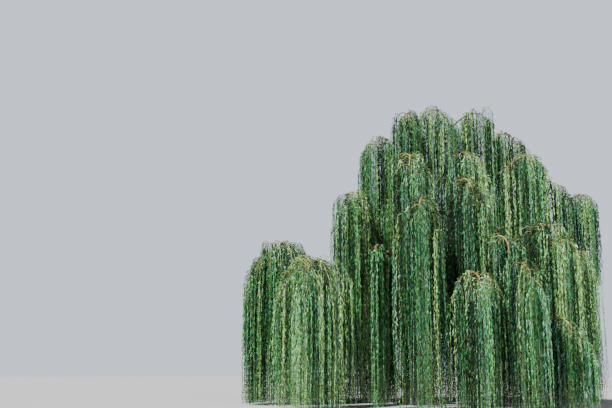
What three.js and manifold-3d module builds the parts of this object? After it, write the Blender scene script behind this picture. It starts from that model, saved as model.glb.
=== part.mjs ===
// A weeping willow in full summer leaf, in millimetres, +Z up. It stands on the flat cut under its
// trunk, which is centred on the origin, and faces -Y. Every limb carries one plume: a mass of hanging
// shoots that falls from an arching stem. The result is a THREE.Group of named, closed meshes.
import * as THREE from "three";
import { mergeVertices } from "three/addons/utils/BufferGeometryUtils.js";
import Module from "manifold-3d";

const wasm = await Module();
wasm.setup();

// Clearance between neighbouring solids, and between foliage and what it must not touch
const GAP = 0.3;
const AIR = 25;

// Steps in the foliage's surface that are smaller than this are smoothed away
const FINEST = 1.5;

// The masses' seeds count up from here
const SEED = 100;

const RISE = new THREE.Vector3(0, 0, 1);

// The short bole: a flat cut at the ground, a root flare, a slight lean, and a rounded fork
const BOLE_TOP = [430, 60, 2250];
const BOLE_BEND = [60, 0, 1100];
const BOLE_RADIUS = 560;
const BOLE_TAPER = 0.16;
const FLARE = { out: 300, height: 520, buttresses: 5, lobe: 0.34, turn: 0.7 };
const FORK = { round: 0.2, close: 0.75 };
const BOLE_SIDES = 24;
const BOLE_STEPS = 11;

// Rings on the bole crowd towards its flare by this power
const BOLE_CROWDING = 1.25;

// Limbs grow from the bole, boughs from the limbs: the radii at foot and tip, how steep the tip is, and
// the shares of its span that a limb runs straight as it leaves its foot and as it comes to its tip
const LIMB = { foot: 250, tip: 44, sides: 8, steps: 9, slope: 1.5, leave: 0.36, arrive: 0.16 };
const BOUGH = { foot: 118, tip: 34, sides: 6, steps: 5, slope: 0.6, leave: 0.36, arrive: 0.3 };
const LIMB_TAPER = 0.8;
const FOOT_SHARE = 0.82;
const BOUGH_LIFT = 0.25;

// The ways in which the limbs on the bole leave it
const LEAVE = {
  leader: [0.04, 0.02, 1],
  left_limb: [-1, -0.04, 0.16],
  right_limb: [0.42, 0.02, 1],
  front_limb: [0.12, -0.5, 1],
  back_limb: [-0.2, 0.42, 1],
};

// A plume's stem leaves the tip of its limb, rises over a crest and droops. Its curve is given in shares
// of the plume's reach, and the stretch of it that bears shoots in shares of its length
const STEM = { tip: 12, sides: 4, steps: 4, climb: 0.75, out: 1.2, fall: 0.75, hang: 0.8, samples: 60 };
const BEARING = { from: 0.12, to: 0.98 };

// Hanging shoots leave the stem to both sides like the ribs of an umbrella: the first ones swing back from
// the stem's way, the last ones go nearly along it. ahead is how far they may reach along that way, as a
// share of the plume's reach. A shoot without room is tried again, each time tucked further in and up.
// The shoulder is in shares of how far out a shoot reaches
const SHOOT = { radius: 14, slimmer: 0.2, apart: 260, least: 8, most: 10, tries: 10, tuck: 0.6, checks: 10 };
const SWING = { first: 2.5, last: 0.5, vary: 0.35, ahead: 0.8 };
const SHOULDER = { out: 0.55, up: 0, down: 1.1, drift: 0.06 };

// The least that a shoot spreads and hangs, as shares of what its plume has room for
const SHORTEST = { out: 0.45, drop: 0.72 };

// The long blades on them, each of which stands for a spray of narrow leaves
const BLADE = { length: 1900, width: 260, thick: 24, vary: 0.2, lean: 0.16, widest: 0.38 };
const BLADE_APART = 2100;
const BLADE_START = 0.2;
const BLADE_PAST = 250;

// Each plume, under what it grows on: how far along that its foot is, the highest point of its arch, how
// far it reaches past that point, how far it hangs down, and how far it spreads to each side
const CROWN = {
  trunk: {
    leader: { foot: 0.9, crest: [1000, 0, 14100], reach: 1000, drop: 5400, spread: 1250 },
    left_limb: { foot: 0.3, crest: [-1550, 300, 12750], reach: 750, drop: 5700, spread: 900 },
    right_limb: { foot: 0.86, crest: [4550, 300, 12950], reach: 800, drop: 5400, spread: 1000 },
    front_limb: { foot: 0.8, crest: [1610, -4000, 9700], reach: 1200, drop: 6200, spread: 1000 },
    back_limb: { foot: 0.84, crest: [-300, 3700, 12200], reach: 1500, drop: 6400, spread: 1900 },
  },
  leader: {
    top_left: { foot: 0.72, crest: [-250, -700, 13700], reach: 750, drop: 5200, spread: 950 },
    top_right: { foot: 0.62, crest: [3150, 300, 14000], reach: 950, drop: 5900, spread: 1350 },
    upper_front: { foot: 0.42, crest: [-500, -3000, 11000], reach: 1100, drop: 6000, spread: 1200 },
    middle_front: { foot: 0.52, crest: [1840, -2700, 11200], reach: 1000, drop: 5600, spread: 1000 },
  },
  left_limb: {
    left_shoulder: { foot: 0.58, crest: [-2950, -1750, 9600], reach: 850, drop: 9100, spread: 1000 },
    left_back: { foot: 0.54, crest: [-2300, 2900, 10100], reach: 1400, drop: 9800, spread: 1800 },
    left_outer: { foot: 0.25, crest: [-6300, 200, 7350], reach: 1400, drop: 7100, spread: 2100 },
    left_front: { foot: 0.26, crest: [-4700, -3900, 6150], reach: 1200, drop: 5900, spread: 2400 },
    left_low_back: { foot: 0.3, crest: [-4400, 4400, 6900], reach: 1600, drop: 6700, spread: 2600 },
  },
  right_limb: {
    right_shoulder: { foot: 0.7, crest: [5250, -800, 11550], reach: 750, drop: 6400, spread: 1000 },
    right_upper: { foot: 0.56, crest: [6450, 0, 10500], reach: 900, drop: 7200, spread: 1000 },
    right_outer: { foot: 0.47, crest: [8100, 300, 9900], reach: 500, drop: 4200, spread: 700 },
    right_low: { foot: 0.32, crest: [7100, -900, 7000], reach: 750, drop: 6600, spread: 1900 },
    right_front: { foot: 0.38, crest: [4950, -4000, 7700], reach: 1300, drop: 7200, spread: 1500 },
    right_back: { foot: 0.52, crest: [5300, 3300, 10000], reach: 1500, drop: 9500, spread: 1900 },
    right_low_back: { foot: 0.26, crest: [6300, 3800, 6900], reach: 1400, drop: 6600, spread: 2400 },
  },
  front_limb: {
    front_left: { foot: 0.64, crest: [-300, -5100, 8650], reach: 1000, drop: 8400, spread: 1250 },
    front_curtain: { foot: 0.42, crest: [-2150, -4500, 6750], reach: 400, drop: 6400, spread: 250 },
    front_high_right: { foot: 0.56, crest: [2750, -5300, 7000], reach: 850, drop: 5000, spread: 1000 },
    front_middle: { foot: 0.36, crest: [1400, -6900, 5250], reach: 1000, drop: 5050, spread: 1400 },
    front_right: { foot: 0.46, crest: [3250, -6400, 5750], reach: 1000, drop: 5500, spread: 1250 },
    front_skirt: { foot: 0.26, crest: [4800, -6000, 3600], reach: 1000, drop: 3400, spread: 1150 },
  },
  back_limb: {
    back_left: { foot: 0.36, crest: [-200, 6200, 7600], reach: 1700, drop: 7400, spread: 2600 },
    back_right: { foot: 0.36, crest: [3500, 6100, 8300], reach: 1700, drop: 8100, spread: 2500 },
  },
};
const PLUMES = Object.fromEntries(
  Object.entries(CROWN).flatMap(([on, plumes]) =>
    Object.entries(plumes).map(([name, plume]) => [name, { on, ...plume }])),
);

const bark = new THREE.MeshStandardMaterial({ color: 0x4d4233, roughness: 0.95, metalness: 0 });
const youngBark = new THREE.MeshStandardMaterial({ color: 0x8a7440, roughness: 0.85, metalness: 0 });
const foliage = [0x5f8a4a, 0x3f6f45, 0x7d9c52].map(
  (color) => new THREE.MeshStandardMaterial({ color, roughness: 0.7, metalness: 0 }),
);

// A seeded stream of numbers from 0 to 1
function dice(seed) {
  let state = seed;
  return () => {
    state = (state * 1664525 + 1013904223) % 4294967296;
    return state / 4294967296;
  };
}

const vector = (a) => new THREE.Vector3(...a);

// How far a point is from a stretch of line, both seen from above
function planDistance(point, { from, to }) {
  const p = point.clone().setZ(0);
  const near = new THREE.Vector3();
  new THREE.Line3(from.clone().setZ(0), to.clone().setZ(0)).closestPointToPoint(p, true, near);
  return near.distanceTo(p);
}

// Bends a unit cylinder or cone along rings of centres and tangents. across is a direction that no
// tangent follows, and radiusAt gives the radius of a ring at an angle round it
function bend(geometry, centres, tangents, across, radiusAt) {
  const steps = centres.length - 1;
  const frames = tangents.map((tangent) => {
    const side = across.clone().addScaledVector(tangent, -across.dot(tangent)).normalize();
    return { side, other: tangent.clone().cross(side) };
  });
  const at = geometry.getAttribute("position");
  const v = new THREE.Vector3();
  for (let i = 0; i < at.count; i++) {
    v.fromBufferAttribute(at, i);
    const ring = Math.round((v.y + 0.5) * steps);
    const arm = Math.hypot(v.x, v.z);
    const radius = arm > 1e-6 ? radiusAt(ring, Math.atan2(v.z, v.x)) / arm : 0;
    const { side, other } = frames[ring];
    const place = centres[ring].clone().addScaledVector(side, v.x * radius);
    place.addScaledVector(other, -v.z * radius);
    at.setXYZ(i, place.x, place.y, place.z);
  }
  return geometry;
}

// A closed three.js geometry as a manifold solid, and back
function solidOf(geometry) {
  const bare = geometry.clone();
  bare.deleteAttribute("normal");
  bare.deleteAttribute("uv");
  const merged = mergeVertices(bare, 1e-2);
  const mesh = new wasm.Mesh({
    numProp: 3,
    vertProperties: merged.getAttribute("position").array,
    triVerts: new Uint32Array(merged.index.array),
  });
  return new wasm.Manifold(mesh);
}

function geometryOf(solid) {
  const mesh = solid.getMesh();
  const geometry = new THREE.BufferGeometry();
  geometry.setAttribute("position", new THREE.BufferAttribute(mesh.vertProperties, 3));
  geometry.setIndex(new THREE.BufferAttribute(mesh.triVerts, 1));
  geometry.computeVertexNormals();
  return geometry;
}

// The largest body of a solid, with scraps left behind by a cut dropped
function whole(solid) {
  return solid.decompose().sort((a, b) => b.volume() - a.volume())[0];
}

// The bole's radius at a share of its length, with the root flare's buttresses
function boleRadius(share, angle) {
  const height = share * BOLE_TOP[2];
  const flare = FLARE.out * Math.exp(-height / FLARE.height);
  const lobes = 1 + FLARE.lobe * Math.exp(-height / FLARE.height)
    * Math.cos(FLARE.buttresses * angle + FLARE.turn);
  const fork = Math.max(0, (share - 1 + FORK.round) / FORK.round);
  return (BOLE_RADIUS * (1 - BOLE_TAPER * share) + flare) * lobes * Math.sqrt(1 - FORK.close * fork * fork);
}

// Every limb as { curve, centres, radii, solid(grow) }
function boleLimb() {
  const curve = new THREE.QuadraticBezierCurve3(vector([0, 0, 0]), vector(BOLE_BEND), vector(BOLE_TOP));
  const shares = Array.from({ length: BOLE_STEPS + 1 }, (_, i) => (i / BOLE_STEPS) ** BOLE_CROWDING);
  const centres = shares.map((s) => curve.getPointAt(s));
  const tangents = shares.map((s) => (s === 0 ? RISE.clone() : curve.getTangentAt(s)));
  const radii = shares.map((s) => boleRadius(s, -FLARE.turn / FLARE.buttresses));
  const solid = (grow) => {
    const shape = new THREE.CylinderGeometry(1, 1, 1, BOLE_SIDES, BOLE_STEPS);
    const stations = centres.map((c) => c.clone());
    stations[BOLE_STEPS].addScaledVector(tangents[BOLE_STEPS], grow);
    return solidOf(bend(shape, stations, tangents, new THREE.Vector3(1, 0, 0),
      (ring, angle) => boleRadius(shares[ring], angle) + grow));
  };
  return { curve, centres, radii, solid };
}

function taperedLimb(curve, across, size, footRadius) {
  const shares = Array.from({ length: size.steps + 1 }, (_, i) => i / size.steps);
  const centres = shares.map((s) => curve.getPointAt(s));
  const tangents = shares.map((s) => curve.getTangentAt(s));
  const radii = shares.map((s) => size.tip + (footRadius - size.tip) * (1 - s) ** LIMB_TAPER);
  const solid = (grow) => {
    const shape = new THREE.CylinderGeometry(1, 1, 1, size.sides, size.steps);
    return solidOf(bend(shape, centres, tangents, across, (ring) => radii[ring] + grow));
  };
  return { curve, centres, radii, solid };
}

// The arch of a plume's stem, from the tip of its limb. Its highest point is the crest
function archOf(plume, outward, size) {
  const slope = outward.clone().addScaledVector(RISE, size.slope).normalize();
  const start = new THREE.Vector3();
  const end = outward.clone().multiplyScalar(plume.reach * STEM.out)
    .addScaledVector(RISE, -plume.reach * STEM.fall);
  const arch = new THREE.CubicBezierCurve3(
    start,
    slope.clone().multiplyScalar(plume.reach * STEM.climb),
    end.clone().addScaledVector(RISE, plume.reach * STEM.hang),
    end,
  );
  const top = arch.getSpacedPoints(STEM.samples).reduce((a, b) => (b.z > a.z ? b : a));
  const shift = vector(plume.crest).sub(top);
  for (const point of [arch.v0, arch.v1, arch.v2, arch.v3]) point.add(shift);
  return { arch, slope };
}

// The line of a limb: it leaves its foot steeply, and turns outward to meet the stem of its plume
function limbCurve(foot, tip, slope, leave, size) {
  const span = tip.distanceTo(foot);
  return new THREE.CubicBezierCurve3(
    foot,
    foot.clone().addScaledVector(leave, span * size.leave),
    tip.clone().addScaledVector(slope, -span * size.arrive),
    tip,
  );
}

// Grows all limbs, and the arch that each one's plume hangs from
function growLimbs() {
  const limbs = { trunk: boleLimb() };
  for (const [name, plume] of Object.entries(PLUMES)) {
    const parent = limbs[plume.on];
    const foot = parent.curve.getPointAt(plume.foot);
    const outward = vector(plume.crest).sub(foot).setZ(0).normalize();
    const main = plume.on === "trunk";
    const size = main ? LIMB : BOUGH;
    const { arch, slope } = archOf(plume, outward, size);
    const tip = arch.v0.clone().addScaledVector(slope, -GAP);
    const toTip = tip.clone().sub(foot).normalize();
    const leave = main ? vector(LEAVE[name]) : toTip.addScaledVector(RISE, BOUGH_LIFT);
    const curve = limbCurve(foot, tip, slope, leave.normalize(), size);
    const across = outward.clone().cross(RISE).normalize();
    const parentStep = plume.foot * (parent.radii.length - 1);
    const parentRadius = THREE.MathUtils.lerp(
      parent.radii[Math.floor(parentStep)],
      parent.radii[Math.ceil(parentStep)],
      parentStep % 1,
    );
    const limb = taperedLimb(curve, across, size, Math.min(size.foot, parentRadius * FOOT_SHARE));
    limbs[name] = { ...limb, plume, outward, across, arch };
  }
  return limbs;
}

// The solid of a limb, cut clear of its parent and of the limbs that leave that parent before it
function limbSolid(name, limbs) {
  const limb = limbs[name];
  let solid = limb.solid(0);
  for (const [other, { plume }] of Object.entries(limbs)) {
    if (other === name) break;
    if (other === limb.plume.on || (plume && plume.on === limb.plume.on)) {
      solid = solid.subtract(limbs[other].solid(GAP));
    }
  }
  return whole(solid).simplify(GAP / 4);
}

// The space of a plume, which it shares with no other: the points under its crest that are nearer
// to its arch, seen from above, than to the arch of any plume that hangs at that height
function roomFor(name, spaces) {
  const own = spaces[name];
  return (point, halfWidth) => {
    const near = planDistance(point, own);
    return Object.entries(spaces).every(([other, space]) => {
      if (other === name || point.z > space.high + AIR || point.z < space.low - AIR) return true;
      return planDistance(point, space) - near > 2 * halfWidth + AIR;
    });
  };
}

// One blade of foliage: an eight-sided spindle, flattened, with its root at a point
function bladeSolid(root, along, turn, length) {
  const blade = new THREE.OctahedronGeometry(1, 0);
  const at = blade.getAttribute("position");
  for (let i = 0; i < at.count; i++) {
    const y = Math.abs(at.getY(i)) < 0.5 ? BLADE.widest : (at.getY(i) + 1) / 2;
    at.setXYZ(i, at.getX(i) * BLADE.width / 2, y * length, at.getZ(i) * BLADE.thick / 2);
  }
  const spin = new THREE.Quaternion().setFromUnitVectors(new THREE.Vector3(0, 1, 0), along);
  blade.applyQuaternion(new THREE.Quaternion().setFromAxisAngle(new THREE.Vector3(0, 1, 0), turn));
  blade.applyQuaternion(spin);
  blade.translate(root.x, root.y, root.z);
  return solidOf(blade);
}

// The line of one hanging shoot: out from the arch, over a shoulder, and straight down
function shootLine(root, heading, out, low) {
  const off = (from, along, up) => from.clone().addScaledVector(heading, along).addScaledVector(RISE, up);
  const shoulder = off(root, out * SHOULDER.out, out * SHOULDER.up);
  const bendOver = off(root, out, -out * SHOULDER.down);
  const tip = off(bendOver, out * SHOULDER.drift, 0).setZ(low);
  return [root, shoulder, bendOver, tip];
}

function shootSolid(line, heading) {
  const tangents = line.map((_, i) =>
    line[Math.min(i + 1, 3)].clone().sub(line[Math.max(i - 1, 0)]).normalize());
  const shape = new THREE.ConeGeometry(1, 1, 3, 3);
  const across = heading.clone().cross(RISE).normalize();
  return solidOf(bend(shape, line, tangents, across, (ring) => SHOOT.radius * (1 - SHOOT.slimmer * ring)));
}

// The blades along a shoot's hanging stretch, each leaning out of it in its own direction
function bladesOn(line, chance, fits) {
  const hang = line[2].z - line[3].z;
  const count = Math.max(2, Math.round(hang / BLADE_APART));
  const blades = [];
  for (let k = 0; k < count; k++) {
    const root = line[2].clone().lerp(line[3], (k + BLADE_START) / count);
    const turn = chance() * Math.PI * 2;
    const lean = vector([Math.cos(turn), Math.sin(turn), 0]).multiplyScalar(BLADE.lean);
    const along = lean.sub(RISE).normalize();
    const full = BLADE.length * (1 - BLADE.vary + 2 * BLADE.vary * chance());
    const length = Math.min(full, root.z - line[3].z + BLADE_PAST);
    const middle = root.clone().addScaledVector(along, length * BLADE.widest);
    const end = root.clone().addScaledVector(along, length);
    const blade = bladeSolid(root, along, turn + Math.PI / 2, length);
    if (fits(blade, [middle], BLADE.width / 2) && fits(blade, [end], SHOOT.radius)) blades.push(blade);
  }
  return blades;
}

// How far a plume spreads in a direction: seen from above, it fills an ellipse round its arch
function planRadius({ spread, reach }, swing) {
  return 1 / Math.hypot(Math.sin(swing) / spread, Math.cos(swing) / (reach * SWING.ahead));
}

// A mass of foliage: its arching stem, the shoots that hang from it on both sides, and their blades.
// What would leave the mass's own space or touch timber is skipped
function plumeSolid(name, limbs, spaces, timber, seed) {
  const { plume, outward, across, arch } = limbs[name];
  const chance = dice(seed);
  const hasRoom = roomFor(name, spaces);
  const fits = (solid, points, halfWidth) =>
    points.every((p) => hasRoom(p, halfWidth)) && solid.intersect(timber).isEmpty();

  const stemFoot = plume.on === "trunk" ? LIMB.tip : BOUGH.tip;
  const pieces = [taperedLimb(arch, across, STEM, stemFoot).solid(0)];
  const wanted = Math.round((plume.reach + plume.spread) / SHOOT.apart);
  const count = THREE.MathUtils.clamp(wanted, SHOOT.least, SHOOT.most);
  for (let i = 0; i < count; i++) {
    const way = i / (count - 1);
    const side = i % 2 ? 1 : -1;
    const root = arch.getPointAt(THREE.MathUtils.lerp(BEARING.from, BEARING.to, way));
    for (let attempt = 0; attempt < SHOOT.tries; attempt++) {
      const swing = THREE.MathUtils.lerp(SWING.first, SWING.last, way) + SWING.vary * (2 * chance() - 1);
      const heading = outward.clone().applyAxisAngle(RISE, side * swing);
      const full = 1 - SHOOT.tuck * (attempt / SHOOT.tries);
      const out = planRadius(plume, swing) * THREE.MathUtils.lerp(SHORTEST.out, 1, chance()) * full;
      const low = plume.crest[2] - plume.drop * THREE.MathUtils.lerp(SHORTEST.drop, 1, chance()) * full;
      const line = shootLine(root, heading, out, low);
      const fall = Array.from({ length: SHOOT.checks + 1 }, (_, k) =>
        line[2].clone().lerp(line[3], k / SHOOT.checks));
      const shoot = shootSolid(line, heading);
      if (fits(shoot, [line[1], ...fall], SHOOT.radius)) {
        pieces.push(shoot, ...bladesOn(line, chance, fits));
        break;
      }
    }
  }
  return whole(wasm.Manifold.union(pieces).simplify(FINEST));
}

// The finished tree. Each limb's group stands at the limb's foot, inside the group of what it grows on
function tree() {
  const limbs = growLimbs();
  const spaces = {};
  for (const [name, plume] of Object.entries(PLUMES)) {
    const { arch } = limbs[name];
    const high = plume.crest[2];
    spaces[name] = { from: arch.v0, to: arch.v3, high, low: high - plume.drop };
  }
  const timber = wasm.Manifold.union(Object.values(limbs).map((limb) => limb.solid(AIR)));

  const groups = { trunk: new THREE.Group() };
  const addMesh = (name, limb, solid, material) => {
    const { x, y, z } = limbs[limb].centres[0];
    const mesh = new THREE.Mesh(geometryOf(solid).translate(-x, -y, -z), material);
    mesh.name = name;
    groups[limb].add(mesh);
  };
  addMesh("trunk", "trunk", limbs.trunk.solid(0), bark);
  Object.entries(PLUMES).forEach(([name, plume], i) => {
    groups[name] = new THREE.Group();
    groups[name].position.subVectors(limbs[name].centres[0], limbs[plume.on].centres[0]);
    groups[plume.on].add(groups[name]);
    const main = plume.on === "trunk";
    addMesh(main ? name : `bough_${name}`, name, limbSolid(name, limbs), main ? bark : youngBark);
    const mass = plumeSolid(name, limbs, spaces, timber, SEED + i);
    addMesh(`foliage_${name}`, name, mass, foliage[i % foliage.length]);
  });
  return groups.trunk;
}

export default tree();
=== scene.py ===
"""The looks of a weeping willow in full summer leaf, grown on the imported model. Metres, +Z up, front at -Y.

Each plume of foliage is grown again by the rule of its solid: a stem leaves the tip of its limb, rises over a
crest and droops, and shoots hang from both sides of it. Here the end half of the limb bears shoots too, and
the rule goes on for two more orders of twigs, with leaves along them all.
"""
import math
from collections import namedtuple

import bpy
import numpy as np
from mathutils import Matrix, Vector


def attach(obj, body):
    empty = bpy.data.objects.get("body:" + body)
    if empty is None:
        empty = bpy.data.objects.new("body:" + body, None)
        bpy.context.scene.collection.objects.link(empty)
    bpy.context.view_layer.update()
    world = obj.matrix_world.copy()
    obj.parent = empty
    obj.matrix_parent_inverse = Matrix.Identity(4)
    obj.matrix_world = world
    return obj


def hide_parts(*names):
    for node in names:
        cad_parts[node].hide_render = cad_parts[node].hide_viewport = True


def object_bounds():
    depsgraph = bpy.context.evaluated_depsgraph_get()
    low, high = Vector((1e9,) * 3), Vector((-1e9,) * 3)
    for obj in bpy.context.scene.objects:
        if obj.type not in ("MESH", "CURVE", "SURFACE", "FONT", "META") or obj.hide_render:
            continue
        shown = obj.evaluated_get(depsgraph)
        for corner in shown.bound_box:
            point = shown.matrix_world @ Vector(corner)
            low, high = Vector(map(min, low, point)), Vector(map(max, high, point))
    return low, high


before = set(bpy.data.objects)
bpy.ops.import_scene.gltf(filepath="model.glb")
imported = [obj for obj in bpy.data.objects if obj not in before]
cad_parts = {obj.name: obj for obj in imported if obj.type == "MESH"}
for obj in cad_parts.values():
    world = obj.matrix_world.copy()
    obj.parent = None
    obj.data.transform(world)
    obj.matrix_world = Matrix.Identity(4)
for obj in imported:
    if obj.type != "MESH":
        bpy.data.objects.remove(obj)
cad_box = np.array(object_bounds())

RISE = np.array([0.0, 0.0, 1.0])
TINY = 1e-9

# The seed of the shoots, and how far apart the seeds of the leaves' pieces are, as a leaf takes several draws
SEED = 23
SEED_STEP = 10

# How many places a curve is sampled at: to place things along it, to find its crest, to measure its span,
# and to tell how near to a shoot it comes
LENGTH_SAMPLES = 201
CREST_SAMPLES = 61
SPAN_SAMPLES = 40
NEARNESS_SAMPLES = 16

# The short bole: a flat cut at the ground, a root flare, a slight lean, and a rounded fork. Its rings lie
# level near the ground
BOLE_LINE = [(0, 0, 0), (0.06, 0, 1.1), (0.43, 0.06, 2.25)]
BOLE_RADIUS = 0.56
BOLE_TAPER = 0.16
BOLE_RINGS = 130
BOLE_SIDES = 120
FLARE_OUT = 0.3
FLARE_HEIGHT = 0.52
BUTTRESSES = 5
BUTTRESS_DEPTH = 0.34
BUTTRESS_TURN = 0.7
FORK_ROUND = 0.2
FORK_CLOSE = 0.75
LEVEL_BELOW = 0.6

# Limbs grow from the bole, boughs from the limbs: the radii at foot and tip, how steep the tip is, and the
# shares of its span that a limb runs straight as it leaves its foot and as it comes to its tip
LimbSize = namedtuple("LimbSize", "foot tip slope leave arrive sides steps_per_metre")
LIMB = LimbSize(foot=0.25, tip=0.044, slope=1.5, leave=0.36, arrive=0.16, sides=28, steps_per_metre=16)
BOUGH = LimbSize(foot=0.118, tip=0.034, slope=0.6, leave=0.36, arrive=0.3, sides=14, steps_per_metre=9)
LIMB_TAPER = 0.8
FOOT_SHARE = 0.82
BOUGH_LIFT = 0.25

# The direction in which each limb leaves the bole
LEAVE = {
    "leader": (0.04, 0.02, 1),
    "left_limb": (-1, -0.04, 0.16),
    "right_limb": (0.42, 0.02, 1),
    "front_limb": (0.12, -0.5, 1),
    "back_limb": (-0.2, 0.42, 1),
}

# The collar at the foot of a limb or bough: how much thicker it is there, and how far the collar reaches, in
# radii of the foot. The start of the bark's grain is in these radii too, so that thick and thin limbs differ
COLLAR = 0.35
COLLAR_REACH = 1.4
GRAIN_START = 7

# Bark relief: the width, length and depth of its ridges. No ridge is deeper than a share of the girth, and
# the relief fades out towards the ground. Clefts and wavers are in widths of a ridge, grit in depths
Relief = namedtuple("Relief", "ridge_width ridge_length depth")
BOLE_RELIEF = Relief(ridge_width=0.1, ridge_length=0.42, depth=0.035)
LIMB_RELIEF = Relief(ridge_width=0.07, ridge_length=0.36, depth=0.022)
BOUGH_RELIEF = Relief(ridge_width=0.05, ridge_length=0.25, depth=0.008)
DEEPEST_OF_GIRTH = 0.09
RELIEF_ABOVE = 0.15
CLEFT = 0.28
WAVER = 1.1
GRIT = 0.7

# The curve of a plume's stem, in shares of the plume's reach, with the radius of its tip
STEM_CLIMB = 0.75
STEM_OUT = 1.2
STEM_FALL = 0.75
STEM_HANG = 0.8
STEM_TIP = 0.012
STEM_POINTS = 16
STEM_SIDES = 8

# Each plume, under what it grows on: how far along that its foot is, the highest point of its arch, how far
# it reaches past that point, how far it hangs down, and how far it spreads to each side
Plume = namedtuple("Plume", "foot crest reach drop spread")
CROWN = {
    "trunk": {
        "leader": Plume(0.9, (1.0, 0, 14.1), 1.0, 5.4, 1.25),
        "left_limb": Plume(0.3, (-1.55, 0.3, 12.75), 0.75, 5.7, 0.9),
        "right_limb": Plume(0.86, (4.55, 0.3, 12.95), 0.8, 5.4, 1.0),
        "front_limb": Plume(0.8, (1.61, -4.0, 9.7), 1.2, 6.2, 1.0),
        "back_limb": Plume(0.84, (-0.3, 3.7, 12.2), 1.5, 6.4, 1.9),
    },
    "leader": {
        "top_left": Plume(0.72, (-0.25, -0.7, 13.7), 0.75, 5.2, 0.95),
        "top_right": Plume(0.62, (3.15, 0.3, 14.0), 0.95, 5.9, 1.35),
        "upper_front": Plume(0.42, (-0.5, -3.0, 11.0), 1.1, 6.0, 1.2),
        "middle_front": Plume(0.52, (1.84, -2.7, 11.2), 1.0, 5.6, 1.0),
    },
    "left_limb": {
        "left_shoulder": Plume(0.58, (-2.95, -1.75, 9.6), 0.85, 9.1, 1.0),
        "left_back": Plume(0.54, (-2.3, 2.9, 10.1), 1.4, 9.8, 1.8),
        "left_outer": Plume(0.25, (-6.3, 0.2, 7.35), 1.4, 7.1, 2.1),
        "left_front": Plume(0.26, (-4.7, -3.9, 6.15), 1.2, 5.9, 2.4),
        "left_low_back": Plume(0.3, (-4.4, 4.4, 6.9), 1.6, 6.7, 2.6),
    },
    "right_limb": {
        "right_shoulder": Plume(0.7, (5.25, -0.8, 11.55), 0.75, 6.4, 1.0),
        "right_upper": Plume(0.56, (6.45, 0.0, 10.5), 0.9, 7.2, 1.0),
        "right_outer": Plume(0.47, (8.1, 0.3, 9.9), 0.5, 4.2, 0.7),
        "right_low": Plume(0.32, (7.1, -0.9, 7.0), 0.75, 6.6, 1.9),
        "right_front": Plume(0.38, (4.95, -4.0, 7.7), 1.3, 7.2, 1.5),
        "right_back": Plume(0.52, (5.3, 3.3, 10.0), 1.5, 9.5, 1.9),
        "right_low_back": Plume(0.26, (6.3, 3.8, 6.9), 1.4, 6.6, 2.4),
    },
    "front_limb": {
        "front_left": Plume(0.64, (-0.3, -5.1, 8.65), 1.0, 8.4, 1.25),
        "front_curtain": Plume(0.42, (-2.15, -4.5, 6.75), 0.4, 6.4, 0.25),
        "front_high_right": Plume(0.56, (2.75, -5.3, 7.0), 0.85, 5.0, 1.0),
        "front_middle": Plume(0.36, (1.4, -6.9, 5.25), 1.0, 5.05, 1.4),
        "front_right": Plume(0.46, (3.25, -6.4, 5.75), 1.0, 5.5, 1.25),
        "front_skirt": Plume(0.26, (4.8, -6.0, 3.6), 1.0, 3.4, 1.15),
    },
    "back_limb": {
        "back_left": Plume(0.36, (-0.2, 6.2, 7.6), 1.7, 7.4, 2.6),
        "back_right": Plume(0.36, (3.5, 6.1, 8.3), 1.7, 8.1, 2.5),
    },
}
PARENT = {name: parent for parent, plumes in CROWN.items() for name in plumes}
PLUMES = {name: plume for plumes in CROWN.values() for name, plume in plumes.items()}

# Each order of shoots: how many each parent bears, the stretch of the parent that bears them, how far they go
# out and how far they swing from the parent's heading, the shares of the plume's drop that they hang, the
# radii at foot and tip, and the size of the leaves on the way out. An arm goes out in shares of how far its
# plume spreads in its direction, and its number and swing are given below. The others go out in metres, or
# less far on a plume that is narrow
ShootOrder = namedtuple("ShootOrder", "count bearing out swing hang foot tip first_leaves arch_points")
ARM = ShootOrder(
    count=None, bearing=(0.1, 0.98), out=(0.3, 1.0), swing=None, hang=(0.45, 1.03),
    foot=0.018, tip=0.003, first_leaves=0.5, arch_points=6,
)
SPRIG = ShootOrder(
    count=3, bearing=(0.1, 0.95), out=(0.12, 0.42), swing=(0.4, 1.7), hang=(0.35, 1.03),
    foot=0.009, tip=0.003, first_leaves=0.6, arch_points=4,
)
STRAND = ShootOrder(
    count=3, bearing=(0.2, 1.0), out=(0.03, 0.13), swing=(0.3, 1.9), hang=(0.25, 1.03),
    foot=0.005, tip=0.002, first_leaves=0.8, arch_points=3,
)

# How fast a shoot thins, how many tries it has to find room, how far a plume spreads that isn't narrow, and
# how many sides a twig has
SHOOT_TAPER = 0.6
SHOOT_TRIES = 4
NARROW_SPREAD = 1
TWIG_SIDES = 3

# The arms on a stem: their number grows with the area that the plume covers, and from the stem's root to its
# tip they swing less and less far from its heading
LEAST_ARMS = 9
ARMS_PER_AREA = 3.0
ARM_SWING = (2.5, 0.5)
SWING_VARY = 0.35
ARM_TRIES = 6

# The arms on a limb: where on it they start, and how far they are apart, swing and go out
LIMB_BEARS = 0.5
LIMB_ARMS_APART = 0.3
LIMB_ARM_SWING = (1.0, 2.1)
LIMB_ARM_OUT = (0.35, 0.8)

# A plume spreads ahead by a share of its reach. The higher the rarity, the fewer short shoots it has
AHEAD = 0.8
SHORT_RARITY = 6.0

# A shoot goes out over a shoulder and bends down. The shape of its way out is in shares of how far out it
# goes, and so is how far it drifts on as it hangs. It sways by a share of its fall, and the wave of its sway
# turns through some radians on the way down
SHOULDER_WAY = 0.35
SHOULDER_RISE = (0.05, 0.75)
BEND_WAY = 0.85
BEND_SINK = 0.14
BEND_DROP = (0.6, 2.2)
HANG_DRIFT = 0.08
SWAY = 0.02
SWAY_WAVE = (2, 5)
HANG_POINTS = 2

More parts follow.
